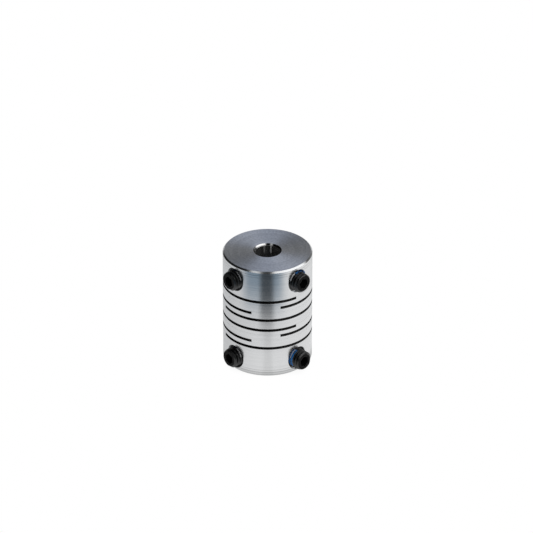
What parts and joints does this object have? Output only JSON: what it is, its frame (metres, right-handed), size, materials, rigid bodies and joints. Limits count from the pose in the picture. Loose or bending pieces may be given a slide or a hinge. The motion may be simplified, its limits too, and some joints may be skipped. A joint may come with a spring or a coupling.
{
  "type": "beam coupling",
  "caption": "Slit-cylinder flexible shaft coupling with a through bore, parallel slits in two groups, and radial cup-point set screws in both hubs.",
  "frame": {"origin": "centre of the lower end face, on the bore axis", "axes": "+Z along the bore, from the lower hub to the upper hub; the set screws stand on -Y and on +X"},
  "size_m": [0.02, 0.0195, 0.0241],
  "materials": {
    "body": "fine turned, satin",
    "screw": "black oxide, lightly oiled",
    "patch": "rough dried compound"
  },
  "bodies": {
    "lower_hub": {"lower_hub": "body"},
    "lower_beam_1": {"lower_beam_1": "body"},
    "lower_beam_2": {"lower_beam_2": "body"},
    "lower_beam_3": {"lower_beam_3": "body"},
    "centre_ring": {"centre_ring": "body"},
    "upper_beam_1": {"upper_beam_1": "body"},
    "upper_beam_2": {"upper_beam_2": "body"},
    "upper_beam_3": {"upper_beam_3": "body"},
    "upper_hub": {"upper_hub": "body"},
    "lower_front_screw": {"lower_front_set_screw": "screw", "lower_front_thread_patch": "patch"},
    "lower_side_screw": {"lower_side_set_screw": "screw", "lower_side_thread_patch": "patch"},
    "upper_front_screw": {"upper_front_set_screw": "screw", "upper_front_thread_patch": "patch"},
    "upper_side_screw": {"upper_side_set_screw": "screw", "upper_side_thread_patch": "patch"}
  },
  "joints": [
    {"name": "slit_1_flexure", "type": "hinge", "parent": "lower_hub", "child": "lower_beam_1", "pos_m": [-0.00668, -0.00095, 0.00654], "axis": [0.1409, -0.99, 0], "range_deg": [-0.35, 0.35]},
    {"name": "slit_2_flexure", "type": "hinge", "parent": "lower_beam_1", "child": "lower_beam_2", "pos_m": [0.00674, -0.00039, 0.008], "axis": [0.0576, 0.9983, 0], "range_deg": [-0.35, 0.35]},
    {"name": "slit_3_flexure", "type": "hinge", "parent": "lower_beam_2", "child": "lower_beam_3", "pos_m": [0.00049, -0.00673, 0.00932], "axis": [0.9973, 0.0732, 0], "range_deg": [-0.35, 0.35]},
    {"name": "slit_4_flexure", "type": "hinge", "parent": "lower_beam_3", "child": "centre_ring", "pos_m": [0.00367, 0.00567, 0.01069], "axis": [-0.8396, 0.5432, 0], "range_deg": [-0.35, 0.35]},
    {"name": "slit_5_flexure", "type": "hinge", "parent": "centre_ring", "child": "upper_beam_1", "pos_m": [-0.00668, -0.00095, 0.013], "axis": [0.1409, -0.99, 0], "range_deg": [-0.35, 0.35]},
    {"name": "slit_6_flexure", "type": "hinge", "parent": "upper_beam_1", "child": "upper_beam_2", "pos_m": [0.00674, -0.00039, 0.01446], "axis": [0.0576, 0.9983, 0], "range_deg": [-0.35, 0.35]},
    {"name": "slit_7_flexure", "type": "hinge", "parent": "upper_beam_2", "child": "upper_beam_3", "pos_m": [0.00049, -0.00673, 0.01578], "axis": [0.9973, 0.0732, 0], "range_deg": [-0.35, 0.35]},
    {"name": "slit_8_flexure", "type": "hinge", "parent": "upper_beam_3", "child": "upper_hub", "pos_m": [0.00367, 0.00567, 0.01715], "axis": [-0.8396, 0.5432, 0], "range_deg": [-0.35, 0.35]},
    {"name": "lower_front_screw_travel", "type": "slide", "parent": "lower_hub", "child": "lower_front_screw", "axis": [0, -1, 0], "range_m": [-0.003, 0.0021]},
    {"name": "lower_side_screw_travel", "type": "slide", "parent": "lower_hub", "child": "lower_side_screw", "axis": [1, 0, 0], "range_m": [-0.0035, 0.0016]},
    {"name": "upper_front_screw_travel", "type": "slide", "parent": "upper_hub", "child": "upper_front_screw", "axis": [0, -1, 0], "range_m": [-0.003, 0.0021]},
    {"name": "upper_side_screw_travel", "type": "slide", "parent": "upper_hub", "child": "upper_side_screw", "axis": [1, 0, 0], "range_m": [-0.00315, 0.00195]}
  ]
}
